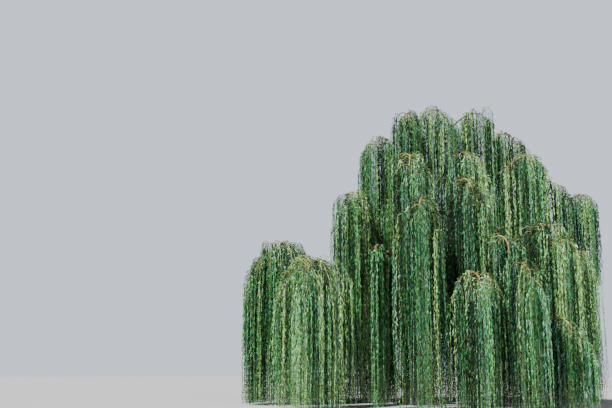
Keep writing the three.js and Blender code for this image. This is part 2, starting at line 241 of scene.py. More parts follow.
# What a shoot keeps clear of, how far it may pass the solids' box, and the shortest fall worth growing
CLEAR_OF_LIMB = 0.03
CLEAR_OF_PLUME = 0.05
OFF_GROUND = 0.17
REACH_PAST = 0.05
SHORTEST_SHOOT = 0.7

# One narrow leaf, folded along its midrib, and how leaves stand on a shoot. They are smaller at its tip
LEAF_LENGTH = 0.2
LEAF_WIDTH = 0.047
LEAF_WIDEST = 0.36
LEAF_FOLD = 0.3
LEAF_SPACING = 0.11
LEAF_LEAN = (0.1, 0.55)
LEAF_ROLL = 0.9
LEAF_SIZES = (0.7, 1.15)
TIP_LEAVES = 0.6

# Where each band of the crown ends, from front to back, by the crests of its plumes
BANDS = {"front": -4.2, "near": -0.4, "far": 3.5, "back": math.inf}

# A plume with no other behind it is grown twice over, so that it looks as dense as the rest
NOTHING_BEHIND = ["left_outer"]

# Plumes that stand out in the sun, plumes in the shade of others, and plumes at the outline of the crown,
# which catch light on the side that faces the trunk too. Their sprays get more or less of the leaf tones of
# painted sunlight and painted shade. A spray is on that side where its heading has less of the way outwards
# in it than INNER_FACING
BRIGHT = {"left_shoulder", "left_front", "middle_front", "right_front", "right_low", "right_shoulder"}
SHADED = {"front_curtain", "front_left", "left_outer"}
LIT_ALL_ROUND = {
    "leader", "left_limb", "right_limb", "top_left", "top_right", "left_shoulder", "left_outer", "left_front",
    "right_shoulder", "right_upper", "right_outer",
}
INNER_FACING = -0.15

# The chances of each tone, on a plume that stands out, on any other, on the side that faces the trunk, and on
# a plume in the shade. Where light falls they deal out more of the sunlit tone, painted sunlight, and where
# shade falls more of the darkest tone, painted shade
BRIGHT_CHANCES = {"sunlit": 0.29, "light": 0.22, "mid": 0.13, "blue": 0.08, "deep": 0.28}
OUTER_CHANCES = {"sunlit": 0.15, "light": 0.22, "mid": 0.19, "blue": 0.15, "deep": 0.29}
INNER_CHANCES = {"sunlit": 0.0, "light": 0.02, "mid": 0.1, "blue": 0.08, "deep": 0.8}
SHADED_CHANCES = {"sunlit": 0.07, "light": 0.17, "mid": 0.26, "blue": 0.1, "deep": 0.4}

# Colours as seen, each part in 0 to 255. A tone of leaves has that of the upper side and of the underside,
# and bark has that of its ridges and of its clefts. The sunlit tone is painted sunlight and the darkest tone
# painted shade, and the clefts' colours and the shaded twigs' colour are painted shade too
LEAF_TONES = {
    # Painted sunlight: paler, yellower leaves for sprays that catch the sun
    "sunlit": ((120, 170, 84), (172, 214, 166)),
    "light": ((66, 146, 76), (128, 196, 158)),
    "mid": ((18, 92, 36), (66, 136, 98)),
    "blue": ((30, 104, 68), (110, 166, 150)),
    # Painted shade: near-black leaves for sprays inside the crown and on plumes in shade
    "deep": ((1, 30, 7), (5, 44, 18)),
}
STEM_COLOUR = (168, 132, 70)
TWIG_COLOUR = (130, 122, 56)
# Painted shade: a darker colour for the twigs of the sprays painted in shade
SHADED_TWIG_COLOUR = (30, 44, 24)
# Bark colours of ridges and clefts; the far darker clefts are painted shade
OLD_BARK_COLOURS = ((66, 58, 48), (20, 17, 14))
YOUNG_BARK_COLOURS = ((116, 102, 66), (62, 52, 34))

# Finishes: the size and strength of the drifts of tone over a surface, and how rough it is. Bark has the
# whole colour of its ridges from RIDGE_TOP up, and a fine grain some times finer than its drifts
Finish = namedtuple("Finish", "drift_size strength roughness")
LEAF_FINISH = Finish(drift_size=0.15, strength=2.2, roughness=0.5)
TWIG_FINISH = Finish(drift_size=0.5, strength=1.2, roughness=0.55)
OLD_BARK_FINISH = Finish(drift_size=0.12, strength=0.9, roughness=0.85)
YOUNG_BARK_FINISH = Finish(drift_size=0.05, strength=0.9, roughness=0.85)
LEAF_GLOSS = 0.15
RIDGE_TOP = 0.2
FINE_GRAIN = 3
FINE_GRAIN_STRENGTH = 0.5
FINE_GRAIN_DEPTH = 0.01

# The light: the strength of each sun, its spread and its turn in degrees, and its colour. The sky lights the
# tree less than its own brightness in the picture
Sun = namedtuple("Sun", "strength spread colour turn")
SUNS = {
    "key": Sun(strength=11.2, spread=4, colour=(1.0, 0.98, 0.96), turn=(36, 0, -42)),
    "fill": Sun(strength=1.6, spread=30, colour=(0.94, 0.97, 1.0), turn=(64, 0, 22)),
}
SKY_COLOUR = (0.78, 0.86, 1.0, 1)
SKY_LIGHT = 0.18
SKY_SEEN = 1.1

# The floor, and the camera at eye height, pitched up by some degrees
FLOOR_RADIUS = 160
FLOOR_COLOUR = (0.33, 0.33, 0.33, 1)
FLOOR_ROUGHNESS = 0.9
CAMERA_PLACE = (-5.2, -40, 1.6)
CAMERA_PITCH = 11
LENS = 50
SENSOR_WIDTH = 36


def unit(vector):
    return vector / np.linalg.norm(vector)


def mix(low, high, share):
    return low + (high - low) * share


def turned(heading, angle):
    """A level direction, turned about the vertical."""
    x, y = heading[:2]
    sine, cosine = math.sin(angle), math.cos(angle)
    return np.array([x * cosine - y * sine, x * sine + y * cosine, 0])


def bezier(points, t):
    """Places on a Bezier curve of any order, by repeated mixing of its control points."""
    t = np.asarray(t, float)[..., None]
    rows = [np.asarray(p, float) for p in points]
    while len(rows) > 1:
        rows = [a + (b - a) * t for a, b in zip(rows, rows[1:])]
    return rows[0]


def along(points, shares):
    """Places at shares of a Bezier curve's length."""
    t = np.linspace(0, 1, LENGTH_SAMPLES)
    steps = np.linalg.norm(np.diff(bezier(points, t), axis=0), axis=1)
    lengths = np.concatenate(([0], np.cumsum(steps)))
    return bezier(points, np.interp(np.asarray(shares) * lengths[-1], lengths, t))


# Limbs
Limb = namedtuple("Limb", "curve size foot_radius outward arch")


def bole_radius(share, angle):
    """The bole's radius at a share of its length, with the root flare's buttresses."""
    fork_height = BOLE_LINE[-1][2]
    fade = np.exp(-share * fork_height / FLARE_HEIGHT)
    lobes = 1 + BUTTRESS_DEPTH * fade * np.cos(BUTTRESSES * angle + BUTTRESS_TURN)
    fork = np.maximum(0, (share - 1 + FORK_ROUND) / FORK_ROUND)
    plain = BOLE_RADIUS * (1 - BOLE_TAPER * share) + FLARE_OUT * fade
    return plain * lobes * np.sqrt(1 - FORK_CLOSE * fork**2)


def limb_radius(size, foot_radius, share):
    return size.tip + (foot_radius - size.tip) * (1 - share) ** LIMB_TAPER


def arch_of(plume, outward, slope):
    """The arch of a plume's stem, from the tip of its limb. Its highest point is the crest."""
    end = outward * plume.reach * STEM_OUT - RISE * plume.reach * STEM_FALL
    arch = np.array([RISE * 0, slope * plume.reach * STEM_CLIMB, end + RISE * plume.reach * STEM_HANG, end])
    samples = along(arch, np.linspace(0, 1, CREST_SAMPLES))
    return arch + plume.crest - samples[samples[:, 2].argmax()]


def grow_limbs():
    """All limbs by name, each with the arch that its plume hangs from."""
    limbs = {"trunk": Limb(np.array(BOLE_LINE, float), None, BOLE_RADIUS, None, None)}
    for name, plume in PLUMES.items():
        parent = limbs[PARENT[name]]
        foot = along(parent.curve, plume.foot)
        outward = unit((plume.crest - foot) * (1, 1, 0))
        main = PARENT[name] == "trunk"
        size = LIMB if main else BOUGH
        slope = unit(outward + RISE * size.slope)
        arch = arch_of(plume, outward, slope)
        if main:
            leave = unit(np.array(LEAVE[name], float))
            parent_radius = bole_radius(plume.foot, -BUTTRESS_TURN / BUTTRESSES)
        else:
            leave = unit(unit(arch[0] - foot) + RISE * BOUGH_LIFT)
            parent_radius = limb_radius(parent.size, parent.foot_radius, plume.foot)
        span = np.linalg.norm(arch[0] - foot)
        after_foot = foot + leave * span * size.leave
        before_tip = arch[0] - slope * span * size.arrive
        curve = np.array([foot, after_foot, before_tip, arch[0]])
        limbs[name] = Limb(curve, size, min(size.foot, parent_radius * FOOT_SHARE), outward, arch)
    return limbs


# Bark: closed tubes. Each point keeps its girth, the limb's radius there, and its grain, its place on the
# limb as if that were a straight round post, which the relief and the bark's colours follow
def tube(centres, radii, grain_start):
    """Vertices, faces, grain and girth of a tube round a line of centres. radii has a row for each centre.
    The rings near the ground lie level."""
    rings, sides = radii.shape
    ways = np.gradient(centres, axis=0)
    ways /= np.linalg.norm(ways, axis=1)[:, None]
    level = np.clip(1 - centres[:, 2:] / LEVEL_BELOW, 0, 1)
    ways = mix(ways, RISE, level)
    ways /= np.linalg.norm(ways, axis=1)[:, None]
    side = unit(np.cross(ways[0], (0.0, 1.0, 0.0)))
    angles = np.arange(sides) * math.tau / sides
    length = grain_start
    vertices, grain = [], []
    for i, (centre, way) in enumerate(zip(centres, ways)):
        side = unit(side - way * side.dot(way))
        other = np.cross(way, side)
        spokes = np.cos(angles)[:, None] * side + np.sin(angles)[:, None] * other
        vertices.append(centre + spokes * radii[i][:, None])
        length += np.linalg.norm(centre - centres[max(i - 1, 0)])
        girth = radii[i].mean()
        post = [np.cos(angles) * girth, np.sin(angles) * girth, np.full(sides, length)]
        grain.append(np.stack(post, axis=1))
    corner = np.arange(sides)
    after = (corner + 1) % sides
    faces = []
    for ring in range(rings - 1):
        low = ring * sides
        high = low + sides
        faces += np.stack([low + corner, low + after, high + after, high + corner], axis=1).tolist()
    faces.append(corner[::-1].tolist())
    faces.append(((rings - 1) * sides + corner).tolist())
    return np.concatenate(vertices), faces, np.concatenate(grain), radii.reshape(-1)


def bole_tube():
    shares = np.linspace(0, 1, BOLE_RINGS)
    angles = np.arange(BOLE_SIDES) * math.tau / BOLE_SIDES
    return tube(along(BOLE_LINE, shares), bole_radius(shares[:, None], -angles[None, :]), 0)


def limb_tube(limb):
    """A limb's tube, with a collar where it leaves what it grows on."""
    curve, size, foot_radius = limb.curve, limb.size, limb.foot_radius
    steps = np.diff(bezier(curve, np.linspace(0, 1, SPAN_SAMPLES)), axis=0)
    span = np.linalg.norm(steps, axis=1).sum()
    shares = np.linspace(0, 1, int(span * size.steps_per_metre))
    collar = 1 + COLLAR * np.exp(-shares * span / (foot_radius * COLLAR_REACH))
    radii = limb_radius(size, foot_radius, shares) * collar
    rings = np.repeat(radii[:, None], size.sides, axis=1)
    return tube(along(curve, shares), rings, foot_radius * GRAIN_START)


def mesh_object(name, vertices, faces, edges=()):
    mesh = bpy.data.meshes.new(name)
    mesh.from_pydata(np.asarray(vertices, float).tolist(), list(edges), faces)
    piece = bpy.data.objects.new(name, mesh)
    bpy.context.scene.collection.objects.link(piece)
    return piece


def point_attribute(piece, name, values):
    values = np.asarray(values, np.float32)
    vector = values.ndim == 2
    attribute = piece.data.attributes.new(name, "FLOAT_VECTOR" if vector else "FLOAT", "POINT")
    attribute.data.foreach_set("vector" if vector else "value", values.ravel())


def joined_tubes(name, tubes):
    vertices, faces, grain, girth = [], [], [], []
    start = 0
    for tube_vertices, tube_faces, tube_grain, tube_girth in tubes:
        vertices.append(tube_vertices)
        faces += [[corner + start for corner in face] for face in tube_faces]
        grain.append(tube_grain)
        girth.append(tube_girth)
        start += len(tube_vertices)
    piece = mesh_object(name, np.concatenate(vertices), faces)
    point_attribute(piece, "grain", np.concatenate(grain))
    point_attribute(piece, "girth", np.concatenate(girth))
    return piece


# Node trees
NOISE_MIDDLE = 0.5


def new_tree(name, kind, inputs, outputs):
    """A node group with named sockets, as (name, socket type, value), and its two end nodes."""
    tree = bpy.data.node_groups.new(name, kind)
    for label, socket, value in inputs:
        item = tree.interface.new_socket(label, in_out="INPUT", socket_type=socket)
        if value is not None:
            item.default_value = value
    for label, socket in outputs:
        tree.interface.new_socket(label, in_out="OUTPUT", socket_type=socket)
    return tree, tree.nodes.new("NodeGroupInput").outputs, tree.nodes.new("NodeGroupOutput").inputs


def shape_tree(name, inputs):
    """A tree that makes a new shape of a geometry, in a material."""
    geometry = ("Geometry", "NodeSocketGeometry")
    material = ("Material", "NodeSocketMaterial", None)
    return new_tree(name, "GeometryNodeTree", [(*geometry, None), *inputs, material], [geometry])


def add(tree, kind, settings=None, **values):
    """A node with its settings, and its inputs: each a plain value, or the output that feeds it. An input is
    given by its name, or by its number after an underscore."""
    node = tree.nodes.new(kind)
    for key, value in (settings or {}).items():
        setattr(node, key, value)
    for label, value in values.items():
        socket = node.inputs[int(label[1:])] if label[0] == "_" else node.inputs[label.replace("_", " ")]
        if isinstance(value, bpy.types.NodeSocket):
            tree.links.new(value, socket)
        else:
            socket.default_value = value
    return node


def math_node(tree, operation, a, b=0.0):
    return add(tree, "ShaderNodeMath", {"operation": operation}, _0=a, _1=b).outputs[0]


def vector_node(tree, operation, **values):
    return add(tree, "ShaderNodeVectorMath", {"operation": operation}, **values).outputs[0]


def attribute_field(tree, name, data_type):
    return add(tree, "GeometryNodeInputNamedAttribute", {"data_type": data_type}, Name=name).outputs[0]


def end_shape(tree, geometry, given, result):
    """Ends a shape tree in a real mesh with its material."""
    plain = add(tree, "GeometryNodeRealizeInstances", Geometry=geometry).outputs[0]
    final = add(tree, "GeometryNodeSetMaterial", Geometry=plain, Material=given["Material"]).outputs[0]
    tree.links.new(final, result[0])


def applied(piece, tree, **inputs):
    """A piece with the plain mesh that a shape tree makes of it. The tree's inputs are given by their names
    and set by their identifiers."""
    modifier = piece.modifiers.new("Growth", "NODES")
    modifier.node_group = tree
    for item in tree.interface.items_tree:
        label = item.name.lower().replace(" ", "_")
        if item.in_out == "INPUT" and label in inputs:
            modifier[item.identifier] = inputs[label]
    shape = piece.evaluated_get(bpy.context.evaluated_depsgraph_get())
    mesh = bpy.data.meshes.new_from_object(shape)
    mesh.name = piece.name
    piece.modifiers.remove(modifier)
    piece.data = mesh
    return piece


def ridge_height(tree, given):
    """The bark's height, in depths: -1 in the clefts between its long ridges, about 0 on them, and gritty."""
    grain = attribute_field(tree, "grain", "FLOAT_VECTOR")
    across = math_node(tree, "DIVIDE", 1.0, given["Ridge width"])
    up = math_node(tree, "DIVIDE", 1.0, given["Ridge length"])
    scale = add(tree, "ShaderNodeCombineXYZ", X=across, Y=across, Z=up).outputs[0]
    place = vector_node(tree, "MULTIPLY", _0=grain, _1=scale)
    waver = add(tree, "ShaderNodeTexNoise", Vector=place, Scale=0.9, Detail=2.0).outputs["Color"]
    pushed = vector_node(tree, "MULTIPLY_ADD", _0=waver, _1=(WAVER, WAVER, WAVER), _2=place)
    to_edge = {"feature": "DISTANCE_TO_EDGE"}
    cells = add(tree, "ShaderNodeTexVoronoi", to_edge, Vector=pushed, Scale=1.0).outputs["Distance"]
    ridge = add(
        tree, "ShaderNodeMapRange", {"interpolation_type": "SMOOTHSTEP"},
        Value=cells, From_Min=0.0, From_Max=CLEFT, To_Min=-1.0, To_Max=0.0,
    ).outputs["Result"]
    noise = add(tree, "ShaderNodeTexNoise", Vector=place, Scale=3.0, Detail=3.0).outputs["Fac"]
    rough = math_node(tree, "SUBTRACT", noise, NOISE_MIDDLE)
    return math_node(tree, "ADD", ridge, math_node(tree, "MULTIPLY", rough, GRIT))


def relief_tree():
    """Raises long ridges that run together and part along the grain, and keeps each point's height in the
    relief, which the bark's colour follows to paint shade into the clefts.
    """
    sizes = [
        ("Ridge width", "NodeSocketFloat", LIMB_RELIEF.ridge_width),
        ("Ridge length", "NodeSocketFloat", LIMB_RELIEF.ridge_length),
        ("Depth", "NodeSocketFloat", LIMB_RELIEF.depth),
    ]
    tree, given, result = shape_tree("Bark relief", sizes)
    height = ridge_height(tree, given)
    girth = attribute_field(tree, "girth", "FLOAT")
    deepest = math_node(tree, "MULTIPLY", girth, DEEPEST_OF_GIRTH)
    depth = math_node(tree, "MINIMUM", given["Depth"], deepest)
    position = tree.nodes.new("GeometryNodeInputPosition").outputs[0]
    above_ground = add(tree, "ShaderNodeSeparateXYZ", Vector=position).outputs["Z"]
    risen = add(tree, "ShaderNodeMapRange", Value=above_ground, From_Max=RELIEF_ABOVE).outputs["Result"]
    lift = math_node(tree, "MULTIPLY", height, math_node(tree, "MULTIPLY", depth, risen))
    normal = tree.nodes.new("GeometryNodeInputNormal").outputs[0]
    offset = vector_node(tree, "SCALE", Vector=normal, Scale=lift)
    kept = add(
        tree, "GeometryNodeStoreNamedAttribute", {"data_type": "FLOAT", "domain": "POINT"},
        Geometry=given["Geometry"], Name="ridge", Value=height,
    ).outputs[0]
    moved = add(tree, "GeometryNodeSetPosition", Geometry=kept, Offset=offset).outputs[0]
    smooth = add(tree, "GeometryNodeSetShadeSmooth", Geometry=moved).outputs[0]
    end_shape(tree, smooth, given, result)
    return tree


def twig_tree():
    """Gives lines their thickness, from the radius kept at each of their points."""
    tree, given, result = shape_tree("Twigs from lines", [("Sides", "NodeSocketInt", TWIG_SIDES)])
    lines = add(tree, "GeometryNodeMeshToCurve", Mesh=given["Geometry"]).outputs[0]
    section = add(tree, "GeometryNodeCurvePrimitiveCircle", Resolution=given["Sides"], Radius=1.0).outputs[0]
    radius = attribute_field(tree, "radius", "FLOAT")
    twigs = add(
        tree, "GeometryNodeCurveToMesh", Curve=lines, Profile_Curve=section, Scale=radius, Fill_Caps=True
    ).outputs[0]
    smooth = add(tree, "GeometryNodeSetShadeSmooth", Geometry=twigs).outputs[0]
    end_shape(tree, smooth, given, result)
    return tree


def random_value(tree, low, high, seed):
    return add(tree, "FunctionNodeRandomValue", {"data_type": "FLOAT"}, _2=low, _3=high, Seed=seed).outputs[1]


def turned_on(tree, rotation, **angles):
    """A rotation turned on, by angles about its own axes."""
    euler = add(tree, "ShaderNodeCombineXYZ", **angles).outputs[0]
    turn = add(tree, "FunctionNodeEulerToRotation", _0=euler).outputs[0]
    local = {"rotation_space": "LOCAL"}
    return add(tree, "FunctionNodeRotateRotation", local, Rotation=rotation, Rotate_By=turn).outputs[0]


def leaf_tree():
    """Sets leaves along lines, each leaning out from its shoot to a side of its own."""
    sizes = [
        ("Leaf", "NodeSocketObject", None),
        ("Spacing", "NodeSocketFloat", LEAF_SPACING),
        ("Least lean", "NodeSocketFloat", LEAF_LEAN[0]),
        ("Most lean", "NodeSocketFloat", LEAF_LEAN[1]),
        ("Roll", "NodeSocketFloat", LEAF_ROLL),
        ("Smallest", "NodeSocketFloat", LEAF_SIZES[0]),
        ("Largest", "NodeSocketFloat", LEAF_SIZES[1]),
        ("Seed", "NodeSocketInt", SEED),
    ]
    tree, given, result = shape_tree("Leaves on lines", sizes)
    lines = add(tree, "GeometryNodeMeshToCurve", Mesh=given["Geometry"]).outputs[0]
    points = add(tree, "GeometryNodeCurveToPoints", {"mode": "LENGTH"}, Curve=lines, Length=given["Spacing"])
    seed = given["Seed"]
    lean = random_value(tree, given["Least lean"], given["Most lean"], seed)
    turn = random_value(tree, 0.0, math.tau, math_node(tree, "ADD", seed, 1.0))
    back = math_node(tree, "MULTIPLY", given["Roll"], -1.0)
    roll = random_value(tree, back, given["Roll"], math_node(tree, "ADD", seed, 2.0))
    rotation = turned_on(tree, points.outputs["Rotation"], X=lean, Z=turn)
    rotation = turned_on(tree, rotation, Z=roll)
    growth = attribute_field(tree, "leaf", "FLOAT")
    vary = random_value(tree, given["Smallest"], given["Largest"], math_node(tree, "ADD", seed, 3.0))
    leaf = add(tree, "GeometryNodeObjectInfo", Object=given["Leaf"]).outputs["Geometry"]
    leaves = add(
        tree, "GeometryNodeInstanceOnPoints", Points=points.outputs["Points"],
        Instance=leaf, Rotation=rotation, Scale=math_node(tree, "MULTIPLY", growth, vary),
    ).outputs[0]
    end_shape(tree, leaves, given, result)
    return tree


# Foliage lines
Shoot = namedtuple("Shoot", "line heading radii leaves")


def plan_distances(point, starts, ends):
    """How far a point is, seen from above, from each of many stretches of line, and where each is nearest."""
    ways = (ends - starts)[:, :2]
    shares = ((point[:2] - starts[:, :2]) * ways).sum(axis=1) / np.maximum((ways**2).sum(axis=1), TINY)
    shares = np.clip(shares, 0, 1)
    nearest = starts + (ends - starts) * shares[:, None]
    return np.linalg.norm(nearest[:, :2] - point[:2], axis=1), nearest


class Crown:
    """What a shoot must keep clear of: the limbs, and the spaces of the other plumes."""

    def __init__(self, limbs):
        self.limbs = limbs
        self.names = list(PLUMES)
        self.starts = np.array([limbs[name].arch[0] for name in self.names])
        self.ends = np.array([limbs[name].arch[3] for name in self.names])
        self.high = np.array([PLUMES[name].crest[2] for name in self.names])
        self.low = self.high - [PLUMES[name].drop for name in self.names]
        shares = np.linspace(0, 1, NEARNESS_SAMPLES)
        froms, tos, radii = [], [], []
        for name in self.names:
            limb = limbs[name]
            places = along(limb.curve, shares)
            froms.append(places[:-1])
            tos.append(places[1:])
            radii.append(limb_radius(limb.size, limb.foot_radius, shares[:-1]))
        self.limb_starts = np.concatenate(froms)
        self.limb_ends = np.concatenate(tos)
        self.limb_radii = np.concatenate(radii)

    def lowest(self, name, top, wanted):
        """How low a shoot of a plume may hang from a point: to where it was wanted, or to just above the
        plume or limb under it. None where that is too short a fall, or in another plume's space."""
        own = self.names.index(name)
        distances, _ = plan_distances(top, self.starts, self.ends)
        others = (distances < distances[own]) & (self.low < top[2]) & (self.high > wanted)
        if np.any(self.high[others] > top[2] - SHORTEST_SHOOT):
            return None
        floor = max([wanted, *(self.high[others] + CLEAR_OF_PLUME)])
        distances, nearest = plan_distances(top, self.limb_starts, self.limb_ends)
        clear = self.limb_radii + CLEAR_OF_LIMB
        under = (distances < clear) & (nearest[:, 2] < top[2]) & (nearest[:, 2] > floor)
        if np.any(under):
            floor = (nearest[under, 2] + clear[under]).max()
        return floor if top[2] - floor > SHORTEST_SHOOT else None


def shoot_line(root, heading, bend, low, arch_points, chance):
    """Out from its parent, over a shoulder to its bend, and down, with a slight sway."""
    out = heading.dot(bend - root)
    way_out = [
        root,
        root + heading * out * SHOULDER_WAY + RISE * out * chance.uniform(*SHOULDER_RISE),
        root + heading * out * BEND_WAY + (bend - root) * RISE * BEND_SINK,
        bend,
    ]
    arch = bezier(way_out, np.linspace(0, 1, arch_points))
    falls = np.linspace(0, 1, HANG_POINTS + 1)[1:]
    hang = bend + heading * (out * HANG_DRIFT) * falls[:, None]
    hang[:, 2] = mix(bend[2], low, falls)
    sway = turned(heading, chance.uniform(0, math.tau))
    wave = np.sin(falls * chance.uniform(*SWAY_WAVE) + chance.uniform(0, math.tau))
    hang += sway * (wave * SWAY * (bend[2] - low))[:, None]
    return np.concatenate([arch, hang])


def make_shoot(crown, name, order, root, heading, out, low, chance):
    """One shoot with the radius and the size of leaves at each of its points, or None without room."""
    bend = root + heading * out - RISE * out * chance.uniform(*BEND_DROP)
    if np.any(bend[:2] < cad_box[0][:2] - REACH_PAST) or np.any(bend[:2] > cad_box[1][:2] + REACH_PAST):
        return None
    low = crown.lowest(name, bend, max(low, OFF_GROUND))
    if low is None:
        return None
    line = shoot_line(root, heading, bend, low, order.arch_points, chance)
    radii = mix(order.foot, order.tip, np.linspace(0, 1, len(line)) ** SHOOT_TAPER)
    leaves = np.concatenate([
        np.linspace(order.first_leaves, 1, order.arch_points),
        np.ones(HANG_POINTS - 1),
        [TIP_LEAVES],
    ])
    return Shoot(line, heading, radii, leaves)


def plan_radius(plume, swing):
    """How far a plume spreads in a direction: from above, it is an ellipse round each place on its arch."""
    return 1 / math.hypot(math.sin(swing) / plume.spread, math.cos(swing) / (plume.reach * AHEAD))


def hang_share(order, chance):
    """How much of its plume's drop a shoot hangs, with the short ones rare."""
    return mix(order.hang[1], order.hang[0], chance.random() ** SHORT_RARITY)


def place_on(shoot, share):
    """A place on a shoot's way out, at a share of it."""
    spot = share * (len(shoot.line) - HANG_POINTS - 1)
    index = int(spot)
    return mix(shoot.line[index], shoot.line[index + 1], spot - index)


def branch_out(crown, name, parent, order, chance):
    """The shoots of the next order on a shoot, to both sides in turn."""
    plume = PLUMES[name]
    shoots = []
    for i in range(order.count):
        share = mix(*order.bearing, (i + chance.random()) / order.count)
        side = 1 if i % 2 else -1
        root = place_on(parent, share)
        for attempt in range(SHOOT_TRIES):
            heading = turned(parent.heading, side * chance.uniform(*order.swing))
            out = min(NARROW_SPREAD, plume.spread) * chance.uniform(*order.out)
            low = plume.crest[2] - plume.drop * hang_share(order, chance)
            shoot = make_shoot(crown, name, order, root, heading, out, low, chance)
            if shoot:
                shoots.append(shoot)
                break
    return shoots


def grow_arm(crown, name, root, side, swings, outs, chance):
    """An arm that leaves its root at a swing within a range, or None where it has no room."""
    plume = PLUMES[name]
    for attempt in range(ARM_TRIES):
        swing = side * chance.uniform(*swings)
        heading = turned(crown.limbs[name].outward, swing)
        out = plan_radius(plume, swing) * chance.uniform(*outs)
        low = plume.crest[2] - plume.drop * hang_share(ARM, chance)
        arm = make_shoot(crown, name, ARM, root, heading, out, low, chance)
        if arm:
            return arm
    return None


def grow_arms(crown, name, chance):
    """The arms of a plume, to both sides in turn: on the end of its limb, then all along its stem."""
    plume = PLUMES[name]
    limb = crown.limbs[name]
    span = np.linalg.norm(limb.curve[3] - limb.curve[0])
    limb_count = int(span * (1 - LIMB_BEARS) / LIMB_ARMS_APART)
    area = 2 * plume.spread * plume.reach * STEM_OUT
    count = LEAST_ARMS + round(area * ARMS_PER_AREA)
    arms = []
    for i in range(limb_count):
        side = 1 if i % 2 else -1
        root = along(limb.curve, mix(LIMB_BEARS, 1, i / limb_count))
        arms.append(grow_arm(crown, name, root, side, LIMB_ARM_SWING, LIMB_ARM_OUT, chance))
    for i in range(count):
        side = 1 if i % 2 else -1
        root = along(limb.arch, mix(*ARM.bearing, i / (count - 1)))
        middle = mix(*ARM_SWING, i / (count - 1))
        swings = (middle - SWING_VARY, middle + SWING_VARY)
        arms.append(grow_arm(crown, name, root, side, swings, ARM.out, chance))
    return [arm for arm in arms if arm]


def grow_plume(crown, name, chance):
    """The shoots of a plume as a list of sprays: an arm or a sprig, each with the strands that it bears."""
    sprays = []
    for arm in grow_arms(crown, name, chance):
        for bearer in (arm, *branch_out(crown, name, arm, SPRIG, chance)):
            sprays.append([bearer, *branch_out(crown, name, bearer, STRAND, chance)])
    return sprays


def tone_of(name, bearer, chance):
    """The tone of a spray. The darkest tone, painted shade, goes mostly to the side of a plume that faces the
    trunk and to plumes in shade, and the sunlit tone, painted sunlight, mostly to plumes in the sun.
    """
    facing = bearer.heading.dot(unit(bearer.line[0] * (1, 1, 0)))
    if name in SHADED:
        chances = SHADED_CHANCES
    elif facing < INNER_FACING and name not in LIT_ALL_ROUND:
        chances = INNER_CHANCES
    elif name in BRIGHT:
        chances = BRIGHT_CHANCES
    else:
        chances = OUTER_CHANCES
    return chance.choice(list(chances), p=list(chances.values()))


def band_of(name):
    """The band of the crown, from front to back, that a plume belongs to."""
    return next(band for band, end in BANDS.items() if PLUMES[name].crest[1] < end)


def grow_foliage(limbs):
    """The shoots of all plumes, dealt out to the bands of the crown and there to the tones."""
    crown = Crown(limbs)
    chance = np.random.default_rng(SEED)
    bands = {band: {tone: [] for tone in LEAF_TONES} for band in BANDS}
    for name in [*PLUMES, *NOTHING_BEHIND]:
        by_tone = bands[band_of(name)]
        for spray in grow_plume(crown, name, chance):
            by_tone[tone_of(name, spray[0], chance)] += spray
    return bands


def stem_lines(limbs):
    """The arching stems that the arms leave, as bare shoots."""
    stems = []
    for name in PLUMES:
        limb = limbs[name]
        line = along(limb.arch, np.linspace(0, 1, STEM_POINTS))
        radii = np.linspace(limb.size.tip, STEM_TIP, STEM_POINTS)
        stems.append(Shoot(line, limb.outward, radii, np.zeros(STEM_POINTS)))
    return stems


def lines_object(name, shoots):
    """Shoots as one mesh of edges, with the radius and leaf size of each point."""
    ends = np.cumsum([len(shoot.line) for shoot in shoots])
    firsts = np.setdiff1d(np.arange(ends[-1]), ends - 1)
    edges = np.stack([firsts, firsts + 1], axis=1).tolist()
    piece = mesh_object(name, np.concatenate([shoot.line for shoot in shoots]), [], edges)
    point_attribute(piece, "radius", np.concatenate([shoot.radii for shoot in shoots]))
    point_attribute(piece, "leaf", np.concatenate([shoot.leaves for shoot in shoots]))
    return piece


def leaf_object():
    """One leaf, from its root up its own Z, with its two halves folded along the midrib."""
    half = LEAF_WIDTH / 2
    widest = LEAF_LENGTH * LEAF_WIDEST
    fold = half * LEAF_FOLD
    corners = [(0, 0, 0), (half, fold, widest), (0, 0, LEAF_LENGTH), (-half, fold, widest)]
    return mesh_object("leaf", corners, [(0, 1, 2), (0, 2, 3)])


# Materials
def srgb(colour):
    """A colour as seen, in 0 to 255, as the shader's own values, by the usual curve of a screen."""
    return (*(((part / 255 + 0.055) / 1.055) ** 2.4 for part in colour), 1.0)


def drift_group():
    """Drifts of lighter and darker tone over a surface, fine and coarse together."""
    tree, given, result = new_tree(
        "Tone drift",
        "ShaderNodeTree",
        [
            ("Colour", "NodeSocketColor", None),
            ("Position", "NodeSocketVector", None),
            ("Drift size", "NodeSocketFloat", LEAF_FINISH.drift_size),
            ("Strength", "NodeSocketFloat", LEAF_FINISH.strength),
        ],
        [("Colour", "NodeSocketColor")],
    )
    scale = math_node(tree, "DIVIDE", 1.0, given["Drift size"])
    noise = add(tree, "ShaderNodeTexNoise", Vector=given["Position"], Scale=scale, Detail=5.0, Roughness=0.7)
    drift = math_node(tree, "SUBTRACT", noise.outputs["Fac"], NOISE_MIDDLE)
    gain = math_node(tree, "ADD", math_node(tree, "MULTIPLY", drift, given["Strength"]), 1.0)
    bright = add(tree, "ShaderNodeHueSaturation", Value=gain, Color=given["Colour"]).outputs[0]
    tree.links.new(bright, result[0])
    return tree


def new_material(name):
    material = bpy.data.materials.new(name)
    material.use_nodes = True
    tree = material.node_tree
    return material, tree, tree.nodes["Principled BSDF"]


def two_colours(tree, share, first, second):
    """From one colour at a share of 0 to another at 1."""
    colours = {"_6": srgb(first), "_7": srgb(second)}
    return add(tree, "ShaderNodeMix", {"data_type": "RGBA"}, _0=share, **colours).outputs[2]


